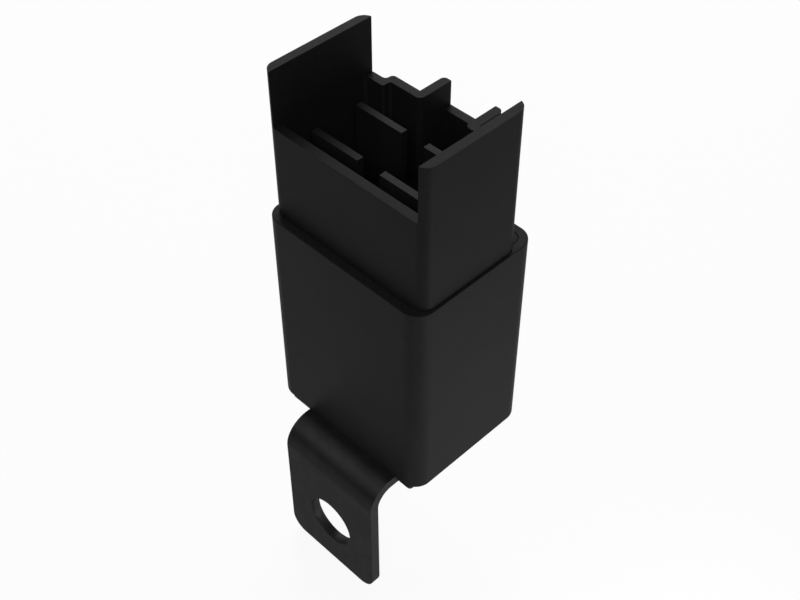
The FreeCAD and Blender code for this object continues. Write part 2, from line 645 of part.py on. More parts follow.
def make_coil_terminal(label, row):
    """Coil terminal: blade, root and a lug bent outwards under the base."""
    body = new_body(label)
    place_in_relay(body)
    near, far = make_blade(body, -1, row)
    root = box("-leg_right", "coil_root - leg_right", "lug_top", "seal_under")
    add(body, "root", "XZ_Plane", [root], near, far)
    reach = ("middle_y - lug_reach", far) if row < 0 else (near, "middle_y + lug_reach")
    add(body, "lug", "XY_Plane", [box("lug_left", "lug_right", *reach)], "lug_under", "lug_top")


def make_load_terminal(label, row, end):
    """Load terminal: blade, root and a long leg down beside the coil."""
    body = new_body(label)
    place_in_relay(body)
    near, far = make_blade(body, 1, row)
    root = box("leg_right - root_width", "leg_right", "base_under", "seal_under")
    add(body, "root", "XZ_Plane", [root], near, far)
    leg = box("leg_left", "leg_right", end, "base_under")
    add(body, "leg", "XZ_Plane", [leg], near, far)
    return body, far


def make_contact_terminal():
    """Contact terminal: a load terminal with a foot over the moving contact."""
    body, far = make_load_terminal("contact_terminal", 1, "foot_under")
    foot = box("leg_left", "leg_right", "middle_y - contact_radius", far)
    add(body, "foot", "XY_Plane", [foot], "foot_under", "foot_top")
    hole = ("contact_x", "middle_y", "contact_shank + rivet_gap")
    cut(body, "contact_hole", "XY_Plane", [hole], "foot_under", "foot_top")


# Magnet

def make_bobbin():
    """Bobbin: tube and two flanges, the spring's seat and two pegs into the base."""
    body = new_body("bobbin")
    place_in_relay(body)
    square = box("flange_left", "flange_right", "middle_y - flange_half", "middle_y + flange_half",
                 "flange_radius")
    add(body, "lower_flange", "XY_Plane", [square], "bobbin_end", "bobbin_end + flange_thick")
    add(body, "tube", "XY_Plane", [("coil_x", "middle_y", "tube_radius")],
        "bobbin_end + flange_thick", "bobbin_top - flange_thick")
    add(body, "upper_flange", "XY_Plane", [square], "bobbin_top - flange_thick", "bobbin_top")
    cut(body, "bore", "XY_Plane", [("coil_x", "middle_y", "core_radius + core_gap")],
        "bobbin_end", "bobbin_top")
    arm = box("flange_right - flange_thick", "boss_x",
              "middle_y - boss_size / 2", "middle_y + boss_size / 2")
    add(body, "arm", "XY_Plane", [arm], "bobbin_end", "bobbin_end + flange_thick")
    add(body, "spring_seat", "XY_Plane", [("boss_x", "middle_y", "boss_size / 2")],
        "bobbin_end", "bobbin_end + boss_height")
    cut(body, "seat_bore", "XY_Plane", [("boss_x", "middle_y", "spring_size / 2 + seat_gap")],
        "bobbin_end", "seat_top")
    pegs = [("peg_x", f"middle_y + {side} * peg_y", "peg_radius") for side in (-1, 1)]
    add(body, "pegs", "XY_Plane", pegs, "bobbin_top", "peg_top")


def make_winding():
    """Winding: the coil's turns as one ring between the flanges."""
    body = new_body("coil_winding")
    place_in_relay(body)
    rings = [("coil_x", "middle_y", "coil_radius"), ("coil_x", "middle_y", "tube_radius + winding_gap")]
    add(body, "turns", "XY_Plane", rings,
        "bobbin_end + flange_thick + winding_gap", "bobbin_top - flange_thick - winding_gap")


def make_core():
    """Core: pole face, shaft, and a spigot riveted over the yoke."""
    body = new_body("core")
    place_in_relay(body)
    profile = [("0", "pole_face"), ("pole_radius", "pole_face"), ("pole_radius", "bobbin_end"),
               ("core_radius", "bobbin_end"), ("core_radius", "bobbin_top"),
               ("spigot_radius", "bobbin_top"), ("spigot_radius", "yoke_top"),
               ("core_radius", "yoke_top"), ("core_radius", "yoke_top + core_head"),
               ("0", "yoke_top + core_head")]
    turn(body, "shaft", profile, "coil_x", "middle_y")


def make_yoke():
    """Yoke: a bent strip over the bobbin and down beside it."""
    body = new_body("yoke")
    place_in_relay(body)
    side = [("yoke_out", "pole_face"), ("yoke_in", "pole_face"), ("yoke_in", "bobbin_top"),
            ("yoke_end", "bobbin_top"), ("yoke_end", "yoke_top"), ("yoke_out", "yoke_top", "yoke_bend")]
    add(body, "sheet", "XZ_Plane", [side], "yoke_front", "yoke_back")
    cut(body, "core_hole", "XY_Plane", [("coil_x", "middle_y", "spigot_radius + core_gap")],
        "bobbin_top", "yoke_top")
    cut(body, "rivet_hole", "YZ_Plane", [("middle_y", "rivet_z", "clip_rivet + rivet_gap")],
        "yoke_out", "yoke_in")


def make_clip():
    """Hinge clip on the yoke, whose lip holds the armature's heel, and its rivet."""
    clip = new_body("hinge_clip")
    place_in_relay(clip)
    back = "yoke_out - clip_thick"
    side = [(back, "lip_top - clip_thick"), ("yoke_out + clip_lip", "lip_top - clip_thick"),
            ("yoke_out + clip_lip", "lip_top"), ("yoke_out", "lip_top"),
            ("yoke_out", "pole_face + clip_height"), (back, "pole_face + clip_height")]
    add(clip, "sheet", "XZ_Plane", [side], "middle_y - clip_width / 2", "middle_y + clip_width / 2")
    cut(clip, "rivet_hole", "YZ_Plane", [("middle_y", "rivet_z", "clip_rivet + rivet_gap")],
        back, "yoke_out")
    rivet = new_body("clip_rivet")
    place_in_relay(rivet)
    add(rivet, "shank", "YZ_Plane", [("middle_y", "rivet_z", "clip_rivet")], back, "yoke_in")
    head = [("middle_y", "rivet_z", "clip_head")]
    add(rivet, "outer_head", "YZ_Plane", head, f"{back} - clip_rise", back)
    add(rivet, "inner_head", "YZ_Plane", head, "yoke_in", "yoke_in + clip_rise")


# Moving pieces, flat in the hinge's frame

def make_armature():
    """Armature: a soft iron plate whose tongue lies under the return spring."""
    body = new_body("armature")
    place_on_hinge(body)
    shape = [("heel_gap", "-armature_width / 2"), ("arm_main", "-armature_width / 2"),
             ("arm_main", "-tongue_width / 2"), ("tongue_end", "-tongue_width / 2"),
             ("tongue_end", "tongue_width / 2"), ("arm_main", "tongue_width / 2"),
             ("arm_main", "armature_width / 2"), ("heel_gap", "armature_width / 2")]
    add(body, "plate", "XY_Plane", [shape], "-armature_thick", "0")
    holes = [("rivet_x", f"{side} * rivet_y", "rivet_radius + rivet_gap") for side in (-1, 1)]
    cut(body, "rivet_holes", "XY_Plane", holes, "-armature_thick", "0")
    at_top = lies_at("0")
    ease_edges(body, "Chamfer", "countersinks", "rivet_sink",
               lambda edge: len(edge.Vertexes) == 1 and at_top(edge))


def make_leaf():
    """Contact leaf under the armature, with a tab towards the braid."""
    body = new_body("contact_leaf")
    place_on_hinge(body)
    tab_left = "arm_contact - braid_radius - tab_margin"
    tab_right = "arm_contact + braid_radius + tab_margin"
    shape = [("leaf_start", "-leaf_width / 2"), (tab_left, "-leaf_width / 2"),
             (tab_left, "-leaf_width / 2 - leaf_tab"), (tab_right, "-leaf_width / 2 - leaf_tab"),
             (tab_right, "-leaf_width / 2"), ("arm_tip", "-leaf_width / 2"),
             ("arm_tip", "leaf_width / 2"), ("leaf_start", "leaf_width / 2")]
    add(body, "sheet", "XY_Plane", [shape], "-leaf_under", "-armature_thick")
    holes = [("rivet_x", f"{side} * rivet_y", "rivet_radius + rivet_gap") for side in (-1, 1)]
    holes.append(("arm_contact", "0", "contact_shank + rivet_gap"))
    cut(body, "holes", "XY_Plane", holes, "-leaf_under", "-armature_thick")


def make_leaf_rivets():
    """The two rivets that hold the leaf, flush in the armature, as one group."""
    rivets = []
    for number, side in enumerate((-1, 1), start=1):
        shank = doc.addObject("Part::Cylinder", f"shank_{number}")
        shank.setExpression("Radius", tie("rivet_radius"))
        shank.setExpression("Height", tie("leaf_under"))
        shank.setExpression("Placement.Base.z", tie("-leaf_under"))
        sink = doc.addObject("Part::Cone", f"sink_{number}")
        sink.setExpression("Radius1", tie("rivet_radius"))
        sink.setExpression("Radius2", tie("rivet_radius + rivet_sink"))
        sink.setExpression("Height", tie("rivet_sink"))
        sink.setExpression("Placement.Base.z", tie("-rivet_sink"))
        head = doc.addObject("Part::Cylinder", f"head_{number}")
        head.setExpression("Radius", tie("head_radius"))
        head.setExpression("Height", tie("rivet_head"))
        head.setExpression("Placement.Base.z", tie("-leaf_under - rivet_head"))
        rivet = doc.addObject("Part::MultiFuse", f"rivet_{number}")
        rivet.Shapes = [shank, sink, head]
        rivet.setExpression("Placement.Base.x", tie("rivet_x"))
        rivet.setExpression("Placement.Base.y", tie(f"{side} * rivet_y"))
        rivets.append(rivet)
    group = doc.addObject("Part::Compound", "leaf_rivets")
    group.Label = "leaf_rivets"
    group.Links = rivets
    place_on_hinge(group)
    doc.recompute()
    made.append(group)


def make_contacts():
    """Moving contact riveted in the leaf, and fixed contact riveted in the terminal's foot."""
    moving = new_body("moving_contact")
    place_on_hinge(moving)
    profile = [("0", "-leaf_under - rivet_head"), ("contact_radius", "-leaf_under - rivet_head"),
               ("contact_radius", "-leaf_under"), ("contact_shank", "-leaf_under"),
               ("contact_shank", "-armature_thick"), ("contact_radius", "-armature_thick"),
               ("contact_radius", "contact_height - armature_thick"),
               ("0", "contact_height - armature_thick")]
    turn(moving, "rivet", profile, "arm_contact", "0")
    fixed = new_body("fixed_contact")
    place_in_relay(fixed)
    profile = [("0", "fixed_face"), ("contact_radius", "fixed_face"), ("contact_radius", "foot_under"),
               ("contact_shank", "foot_under"), ("contact_shank", "foot_top"),
               ("contact_radius", "foot_top"), ("contact_radius", "foot_top + rivet_head"),
               ("0", "foot_top + rivet_head")]
    turn(fixed, "rivet", profile, "contact_x", "middle_y")


# Spring, stop and wiring

def make_spring():
    """Return spring: a wire wound about the seat's axis, in its open length."""
    body = new_body("return_spring")
    place_in_relay(body)
    sketch = new_sketch(body, "wire_sketch", "XZ_Plane", "-middle_y")
    sketch.setExpression("AttachmentOffset.Base.x", tie("boss_x"))
    draw_wire(sketch, "spring_size / 2 - spring_wire / 2", "spring_low", "spring_wire / 2")
    helix = body.newObject("PartDesign::AdditiveHelix", "wire")
    helix.Profile = sketch
    helix.ReferenceAxis = (sketch, ["V_Axis"])
    helix.Mode = 0
    helix.setExpression("Pitch", tie("spring_pitch"))
    helix.setExpression("Height", tie("spring_high - spring_low"))
    doc.recompute()


def make_stop():
    """Back stop: a strip from the base down to a lip under the leaf's tip."""
    body = new_body("back_stop")
    place_in_relay(body)
    side = [("tip_x - stop_lip", "stop_top - stop_thick"), ("stop_right", "stop_top - stop_thick"),
            ("stop_right", "peg_top"), ("stop_left", "peg_top"), ("stop_left", "stop_top"),
            ("tip_x - stop_lip", "stop_top")]
    add(body, "sheet", "XZ_Plane", [side], "middle_y - stop_width / 2", "middle_y + stop_width / 2")


def make_wire(label, across, points, bend, radius):
    """Wire in an upright plane along Y: level and upright runs joined by bends."""
    body = new_body(label)
    place_in_relay(body)
    route = new_sketch(body, "route", "YZ_Plane", across)
    spots = [FreeCAD.Vector(value(along), value(up), 0) for along, up in points]
    runs = [(after - before).normalize() for before, after in zip(spots, spots[1:])]
    size = value(bend)
    lines = []
    for i, run in enumerate(runs):
        start = spots[i] + run * (size if i > 0 else 0)
        end = spots[i + 1] - run * (size if i < len(runs) - 1 else 0)
        lines.append(route.addGeometry(Part.LineSegment(start, end), False))
        hold_line(route, lines[i], run, points[i])
    level = [abs(run.x) > abs(run.y) for run in (runs[0], runs[-1])]
    hold(route, "DistanceX" if level[0] else "DistanceY", lines[0], 1, points[0][0 if level[0] else 1])
    hold(route, "DistanceX" if level[1] else "DistanceY", lines[-1], 2, points[-1][0 if level[1] else 1])
    for i in range(1, len(lines)):
        draw_corner(route, lines[i - 1], lines[i], spots[i], runs[i - 1], runs[i], bend)
    if level[0]:
        section = new_sketch(body, "section", "XZ_Plane", f"-({points[0][0]})")
        draw_wire(section, across, points[0][1], radius)
    else:
        section = new_sketch(body, "section", "XY_Plane", points[0][1])
        draw_wire(section, across, points[0][0], radius)
    pipe = body.newObject("PartDesign::AdditivePipe", "wire")
    pipe.Profile = section
    pipe.Spine = (route, [])
    doc.recompute()
    return body


def make_braid():
    """Braid: a soft copper bundle from the common terminal's face down to the leaf's tab."""
    points = [("-blade_row / 2 - blade_thick / 2", "braid_up"), ("braid_y", "braid_up"),
              ("braid_y", "braid_low")]
    make_wire("braid", "contact_x", points, "braid_bend", "braid_radius")


def make_resistor():
    """Resistor above the yoke, whose leads bend up to the lugs of both coil terminals."""
    near = "middle_y - lead_y"
    far = "middle_y + lead_y"
    points = [(near, "lug_under"), (near, "resistor_z"), (far, "resistor_z"), (far, "lug_under")]
    body = make_wire("suppression_resistor", "lead_x", points, "lead_bend", "resistor_lead")
    add(body, "barrel", "XZ_Plane", [("lead_x", "resistor_z", "resistor_radius")],
        "middle_y - resistor_length / 2", "middle_y + resistor_length / 2")


def make_coil_leads():
    """The winding's two ends, led over the upper flange to the lugs."""
    for label, side in (("coil_lead_front", -1), ("coil_lead_back", 1)):
        outside = f"middle_y + {side} * wire_y"
        inside = f"middle_y + {side} * wire_end"
        points = [(outside, "lug_under"), (outside, "wire_z"), (inside, "wire_z")]
        make_wire(label, "wire_x", points, "lead_bend", "wire_radius")


make_base()
make_seals()
make_cover()
make_bracket()
make_coil_terminal("coil_terminal_front", -1)
make_coil_terminal("coil_terminal_back", 1)
make_load_terminal("common_terminal", -1, "braid_up - braid_radius - weld_land")
make_contact_terminal()
make_bobbin()
make_winding()
make_core()
make_yoke()
make_clip()
make_armature()
make_leaf()
make_leaf_rivets()
make_contacts()
make_spring()
make_stop()
make_braid()
make_resistor()
make_coil_leads()
doc.recompute()

for item in doc.Objects:
    if "Invalid" in item.State or "Error" in item.State:
        raise RuntimeError(f"{item.Name} is {item.State}")
for item in made:
    if item.Shape.isNull() or not item.Shape.isValid():
        raise RuntimeError(f"{item.Label} has no sound shape")
for item in made:
    item.Shape.exportStep(f"parts/{item.Label}.step")
    print(item.Label, len(item.Shape.Solids), round(item.Shape.Volume, 2))
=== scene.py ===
"""Looks of a sealed automotive relay: finishes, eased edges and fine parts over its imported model.

Lengths are in metres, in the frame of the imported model: the origin is the middle of the bracket's
fixing hole, +Z runs up towards the blades and -Y looks out of the bracket's tab.
"""

import logging
import math
from abc import ABC, abstractmethod
from dataclasses import dataclass
from enum import Enum
from functools import lru_cache

import bmesh
import bpy
import numpy as np
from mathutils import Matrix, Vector


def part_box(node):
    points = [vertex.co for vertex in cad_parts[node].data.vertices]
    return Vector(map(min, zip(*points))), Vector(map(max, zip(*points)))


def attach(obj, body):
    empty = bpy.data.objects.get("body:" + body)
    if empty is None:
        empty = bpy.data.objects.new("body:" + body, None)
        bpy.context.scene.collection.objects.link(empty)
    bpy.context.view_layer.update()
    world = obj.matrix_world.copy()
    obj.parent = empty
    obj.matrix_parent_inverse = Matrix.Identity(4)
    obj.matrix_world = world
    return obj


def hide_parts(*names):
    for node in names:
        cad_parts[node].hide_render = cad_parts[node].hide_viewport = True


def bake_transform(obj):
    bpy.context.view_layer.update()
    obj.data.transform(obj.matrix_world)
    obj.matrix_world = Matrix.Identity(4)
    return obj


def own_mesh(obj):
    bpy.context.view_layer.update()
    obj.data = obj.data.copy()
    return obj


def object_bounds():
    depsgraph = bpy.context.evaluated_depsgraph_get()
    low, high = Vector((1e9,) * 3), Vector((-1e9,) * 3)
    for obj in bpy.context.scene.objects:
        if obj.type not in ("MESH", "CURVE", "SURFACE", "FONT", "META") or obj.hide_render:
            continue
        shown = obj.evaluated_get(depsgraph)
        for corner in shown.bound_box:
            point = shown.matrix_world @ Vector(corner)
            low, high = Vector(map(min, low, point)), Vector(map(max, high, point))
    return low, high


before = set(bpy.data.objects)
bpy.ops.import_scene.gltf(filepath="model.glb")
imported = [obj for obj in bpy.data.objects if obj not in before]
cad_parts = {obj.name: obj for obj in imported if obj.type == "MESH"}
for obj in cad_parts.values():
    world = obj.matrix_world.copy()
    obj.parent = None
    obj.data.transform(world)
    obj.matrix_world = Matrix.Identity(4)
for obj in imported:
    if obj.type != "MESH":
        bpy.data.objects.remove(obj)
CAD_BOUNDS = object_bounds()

log = logging.getLogger("relay")

MM = 0.001
WELD = 0.0002 * MM
FLAT_ANGLE = math.radians(0.5)
EASED_ANGLE = math.radians(35.0)
SHARP_ANGLE = math.radians(40.0)
LARGE_FACE_WEIGHT = 100
FULL_TURN = 2.0 * np.pi
NOISE_MIDDLE = (0.3, 0.7)
WHITE = (1.0, 1.0, 1.0, 1.0)

Colour = tuple[float, float, float]
Paint = tuple[float, float, float, float]
Place = tuple[float, float, float]
Span = tuple[float, float]
Surface = tuple[np.ndarray, list[np.ndarray]]
Socket = bpy.types.NodeSocket


class Body(Enum):
    """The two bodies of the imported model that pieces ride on."""

    CASE = "case"
    ARMATURE_SET = "armature_set"


class Axis(Enum):
    """An axis of the frame, by its column in an array of places."""

    X = 0
    Y = 1
    Z = 2


class Grain(Enum):
    """How many finer layers a noise has over its lumps."""

    SMOOTH = 1.0
    SOFT = 2.0
    ROUGH = 3.0
    CLOUDY = 4.0


# Finishes

def opaque(colour: Colour) -> Paint:
    """A colour with full cover."""
    return (*colour, 1.0)


class NodeSheet:
    """A material's node tree, laid out one node at a time."""

    def __init__(self, name: str) -> None:
        """Start a material with its surface shader.

        Args:
            name: the material's name.
        """
        self.material = bpy.data.materials.new(name)
        self.material.use_nodes = True
        self.tree = self.material.node_tree
        self.surface = self.tree.nodes["Principled BSDF"]
        self.spot = self.add("ShaderNodeTexCoord")

    @property
    def places(self) -> Socket:
        """Places on the object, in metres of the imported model's frame."""
        return self.spot.outputs["Object"]

    def add(self, kind: str, inputs: dict | None = None, **settings: object) -> bpy.types.Node:
        """Add a node.

        Args:
            kind: the node's type.
            inputs: a value or an output socket for each input, by name or number.
            settings: the node's own settings.

        Returns:
            The new node.
        """
        node = self.tree.nodes.new(kind)
        for name, setting in settings.items():
            setattr(node, name, setting)
        for name, given in (inputs or {}).items():
            self.feed(node, name, given)
        return node

    def feed(self, node: bpy.types.Node, name: str | int, given: object) -> None:
        """Give an input a value, or link an output socket to it.

        Args:
            node: the node that takes it.
            name: the input's name or number.
            given: the value or the output socket.
        """
        if isinstance(given, Socket):
            self.tree.links.new(given, node.inputs[name])
        else:
            node.inputs[name].default_value = given

    def noise(self, size: float, grain: Grain = Grain.SOFT,
              stretch: Place = (1.0, 1.0, 1.0)) -> Socket:
        """Cloudy noise from 0 to 1.

        Args:
            size: how large its lumps are, in metres.
            grain: how many finer layers it has.
            stretch: how much it is squeezed along each axis.

        Returns:
            The socket that carries it.
        """
        where = self.add("ShaderNodeMapping", {"Vector": self.places, "Scale": stretch})
        noise = self.add("ShaderNodeTexNoise", {"Vector": where.outputs[0], "Scale": 1.0 / size,
                                                "Detail": grain.value})
        return noise.outputs["Fac"]

    def cells(self, size: float, smoothness: float = 0.6) -> Socket:
        """Rounded pits.

        Args:
            size: how far apart their middles are, about, in metres.
            smoothness: how rounded the ridges between them are.

        Returns:
            The socket with the distance to the nearest pit's middle.
        """
        pits = self.add("ShaderNodeTexVoronoi", {"Vector": self.places, "Scale": 1.0 / size,
                                                 "Smoothness": smoothness}, feature="SMOOTH_F1")
        return pits.outputs["Distance"]

    def spread(self, source: Socket, low: float, high: float) -> Socket:
        """Spread the middle of a noise over a range.

        Args:
            source: the noise.
            low: what its low end becomes.
            high: what its high end becomes.

        Returns:
            The socket that carries the range.
        """
        ranged = self.add("ShaderNodeMapRange", {"Value": source, "From Min": NOISE_MIDDLE[0],
                                                 "From Max": NOISE_MIDDLE[1], "To Min": low,
                                                 "To Max": high})
        return ranged.outputs[0]

    def blend(self, share: object, first: object, second: object) -> Socket:
        """Mix two colours: share 0 is the first, 1 the second."""
        mix = self.add("ShaderNodeMix", {"Factor": share, 6: first, 7: second}, data_type="RGBA")
        return mix.outputs[2]

    def tint(self, colour: Colour, change: float, share: Socket) -> Socket:
        """A colour that varies with a noise.

        Args:
            colour: the middle colour.
            change: the share of itself by which it goes down and up.
            share: the noise.

        Returns:
            The socket that carries the colour.
        """
        low = opaque(tuple(part * (1.0 - change) for part in colour))
        high = opaque(tuple(part * (1.0 + change) for part in colour))
        return self.blend(self.spread(share, 0.0, 1.0), low, high)

    def bump(self, height: Socket, depth: float, under: Socket | None = None) -> Socket:
        """Raise the surface in its shading.

        Args:
            height: the height, from 0 to 1.
            depth: how much a height of 1 is, in metres.
            under: another bump that this one lies over.

        Returns:
            The socket that carries the surface's direction.
        """
        inputs = {"Height": height, "Distance": depth, "Strength": 1.0}
        if under is not None:
            inputs["Normal"] = under
        return self.add("ShaderNodeBump", inputs).outputs[0]

    def finish(self, **inputs: object) -> bpy.types.Material:
        """Feed the surface shader's inputs, whose names are written with _ for spaces.

        Args:
            inputs: a value or a socket for each input.

        Returns:
            The finished material.
        """
        for name, given in inputs.items():
            self.feed(self.surface, name.replace("_", " "), given)
        return self.material


@dataclass(frozen=True)
class Finish(ABC):
    """A finish, whose name is the record's slot."""

    name: str
    colour: Colour

    @abstractmethod
    def material(self) -> bpy.types.Material:
        """Build the material."""


@dataclass(frozen=True)
class MouldedPlastic(Finish):
    """Moulding from a spark-eroded tool: fine pits, and a faint cloudiness of the resin."""

    roughness: Span = (0.45, 0.55)
    gloss: float = 0.025
    pit_size: float = 0.16 * MM
    pit_depth: float = 0.006 * MM
    speck_size: float = 0.272 * MM
    speck_share: float = 0.5
    speck_change: float = 0.22
    cloud_size: float = 5.0 * MM
    cloud_change: float = 0.10
    wave_size: float = 3.0 * MM
    wave_depth: float = 0.009 * MM

    def material(self) -> bpy.types.Material:
        """Build the material: pits over waves, and specks in the colour and the roughness.

        Returns:
            The new material.
        """
        sheet = NodeSheet(self.name)
        cloud = sheet.noise(self.cloud_size, Grain.CLOUDY)
        speck = sheet.noise(self.speck_size, Grain.SMOOTH)
        colour = sheet.blend(self.speck_share,
                             sheet.tint(self.colour, self.cloud_change, cloud),
                             sheet.tint(self.colour, self.speck_change, speck))
        waves = sheet.bump(sheet.noise(self.wave_size, Grain.SMOOTH), self.wave_depth)
        pits = sheet.bump(sheet.cells(self.pit_size), self.pit_depth, waves)
        return sheet.finish(Base_Color=colour, Roughness=sheet.spread(speck, *self.roughness),
                            Specular_IOR_Level=self.gloss, Normal=pits)


@dataclass(frozen=True)
class CoatedSteel(Finish):
    """Sheet steel under a thin black coat, with a fine orange peel and sheared edges painted
    lighter: partly their own tone, partly a painted highlight for the light on the side faces.
    """

    edge_and_highlight_colour: Colour
    roughness: Span = (0.34, 0.43)
    rough_size: float = 1.2 * MM
    metallic: float = 0.5
    rim_tint: float = 0.6
    cloud_size: float = 3.0 * MM
    cloud_change: float = 0.12
    peel_size: float = 0.45 * MM
    peel_depth: float = 0.004 * MM
    shear_facing: Span = (0.75, 0.98)
    shear_pitch: float = 0.12 * MM
    shear_stretch: float = 0.15
    shear_change: float = 0.25

    def material(self) -> bpy.types.Material:
        """Build the material: faces that look along X are sheared edges, whose lighter colour is
        partly a painted highlight.

        Returns:
            The new material.
        """
        sheet = NodeSheet(self.name)
        facing = sheet.add("ShaderNodeSeparateXYZ", {0: sheet.spot.outputs["Normal"]}).outputs["X"]
        sideways = sheet.add("ShaderNodeMath", {0: facing}, operation="ABSOLUTE").outputs[0]
        # Mask of faces that look along X: the sheared edges, painted lighter with their own tone and
        # a painted highlight.
        edge = sheet.add("ShaderNodeMapRange",
                         {"Value": sideways, "From Min": self.shear_facing[0],
                          "From Max": self.shear_facing[1]}, interpolation_type="SMOOTHSTEP")
        streak = sheet.noise(self.shear_pitch, Grain.SOFT, (self.shear_stretch, 1.0, 1.0))
        face = sheet.tint(self.colour, self.cloud_change,
                          sheet.noise(self.cloud_size, Grain.CLOUDY))
        colour = sheet.blend(edge.outputs[0], face,
                             sheet.tint(self.edge_and_highlight_colour, self.shear_change, streak))
        peel = sheet.bump(sheet.noise(self.peel_size, Grain.SOFT), self.peel_depth)
        rough = sheet.spread(sheet.noise(self.rough_size, Grain.ROUGH), *self.roughness)
        return sheet.finish(Base_Color=colour, Roughness=rough, Metallic=self.metallic,
                            Specular_IOR_Level=0.0, Specular_Tint=opaque((self.rim_tint,) * 3),
                            Normal=peel)


@dataclass(frozen=True)
class RolledMetal(Finish):
    """Rolled strip or plated metal: fine lines along the rolling direction and a cloudy plating."""

    roughness: Span
    along: Axis = Axis.Z
    metallic: float = 1.0
    gloss: float = 0.5
    line_pitch: float = 0.05 * MM
    line_depth: float = 0.0015 * MM
    line_stretch: float = 0.03
    cloud_size: float = 2.5 * MM
    cloud_change: float = 0.10

    def material(self) -> bpy.types.Material:
        """Build the material: the noise is stretched along the rolling direction.

        Returns:
            The new material.
        """
        sheet = NodeSheet(self.name)
        stretch = tuple(self.line_stretch if axis is self.along else 1.0 for axis in Axis)
        lines = sheet.noise(self.line_pitch, Grain.SOFT, stretch)
        cloud = sheet.noise(self.cloud_size, Grain.CLOUDY)
        return sheet.finish(Base_Color=sheet.tint(self.colour, self.cloud_change, cloud),
                            Roughness=sheet.spread(lines, *self.roughness),
                            Metallic=self.metallic, Specular_IOR_Level=self.gloss,
                            Normal=sheet.bump(lines, self.line_depth))


@dataclass(frozen=True)
class Enamel(Finish):
    """Copper wire under clear enamel."""

    roughness: Span = (0.25, 0.38)
    metallic: float = 0.85
    coat: float = 0.8
    coat_roughness: float = 0.15
    cloud_size: float = 0.8 * MM
    cloud_change: float = 0.15

    def material(self) -> bpy.types.Material:
        """Build the material: one cloudy noise for the colour and the roughness.

        Returns:
            The new material.
        """
        sheet = NodeSheet(self.name)
        cloud = sheet.noise(self.cloud_size, Grain.ROUGH)
        return sheet.finish(Base_Color=sheet.tint(self.colour, self.cloud_change, cloud),
                            Roughness=sheet.spread(cloud, *self.roughness),
                            Metallic=self.metallic, Coat_Weight=self.coat,
                            Coat_Roughness=self.coat_roughness)


@dataclass(frozen=True)
class PouredResin(Finish):
    """Poured compound: smooth waves, small specks and a low gloss."""

    roughness: Span = (0.37, 0.55)
    rough_size: float = 0.9 * MM
    gloss: float = 0.25
    wave_size: float = 1.6 * MM
    wave_depth: float = 0.03 * MM
    speck_size: float = 0.12 * MM
    speck_depth: float = 0.003 * MM
    cloud_size: float = 0.6 * MM
    cloud_change: float = 0.2

    def material(self) -> bpy.types.Material:
        """Build the material: specks over waves.

        Returns:
            The new material.
        """
        sheet = NodeSheet(self.name)
        waves = sheet.bump(sheet.noise(self.wave_size, Grain.SMOOTH), self.wave_depth)
        specks = sheet.bump(sheet.noise(self.speck_size, Grain.SMOOTH), self.speck_depth, waves)
        rough = sheet.spread(sheet.noise(self.rough_size, Grain.SOFT), *self.roughness)
        cloud = sheet.noise(self.cloud_size, Grain.ROUGH)
        return sheet.finish(Base_Color=sheet.tint(self.colour, self.cloud_change, cloud),
                            Roughness=rough, Specular_IOR_Level=self.gloss, Normal=specks)


@dataclass(frozen=True)
class BandedLacquer(Finish):
    """Lacquered resistor body with four plain rings, and tinned wire past its two ends."""

    rings: tuple[Colour, ...]
    middle: Place
    half_length: float
    wire: Colour = (0.6, 0.6, 0.6)
    wire_from: float = 1.01
    first_ring: float = 0.2
    ring_pitch: float = 0.16
    ring_width: float = 0.08
    roughness: Span = (0.3, 0.42)
    lump_size: float = 0.5 * MM
    lump_depth: float = 0.01 * MM

    def material(self) -> bpy.types.Material:
        """Build the material: the rings and the bare wire go by the place along Y.

        Returns:
            The new material.
        """
        sheet = NodeSheet(self.name)
        local = sheet.add("ShaderNodeVectorMath", {0: sheet.places, 1: self.middle},
                          operation="SUBTRACT")
        place = sheet.add("ShaderNodeSeparateXYZ", {0: local.outputs[0]}).outputs["Y"]
        along = sheet.add("ShaderNodeMapRange", {"Value": place, "From Min": -self.half_length,
                                                 "From Max": self.half_length})
        ramp = sheet.add("ShaderNodeValToRGB", {"Fac": along.outputs[0]})
        self.paint_rings(ramp.color_ramp)
        distance = sheet.add("ShaderNodeMath", {0: place}, operation="ABSOLUTE").outputs[0]
        bare = sheet.add("ShaderNodeMath", {0: distance, 1: self.half_length * self.wire_from},
                         operation="GREATER_THAN").outputs[0]
        lumps = sheet.noise(self.lump_size)
        return sheet.finish(Base_Color=sheet.blend(bare, ramp.outputs["Color"], opaque(self.wire)),
                            Metallic=bare, Roughness=sheet.spread(lumps, *self.roughness),
                            Normal=sheet.bump(lumps, self.lump_depth))

    def paint_rings(self, ramp: bpy.types.ColorRamp) -> None:
        """Set a ramp's stops: body, ring, body, ring and so on, with hard steps.

        Args:
            ramp: the ramp, from one end of the body to the other.
        """
        ramp.interpolation = "CONSTANT"
        ramp.elements.remove(ramp.elements[1])
        ramp.elements[0].color = opaque(self.colour)
        for number, ring in enumerate(self.rings):
            start = self.first_ring + self.ring_pitch * number
            ramp.elements.new(start).color = opaque(ring)
            ramp.elements.new(start + self.ring_width).color = opaque(self.colour)
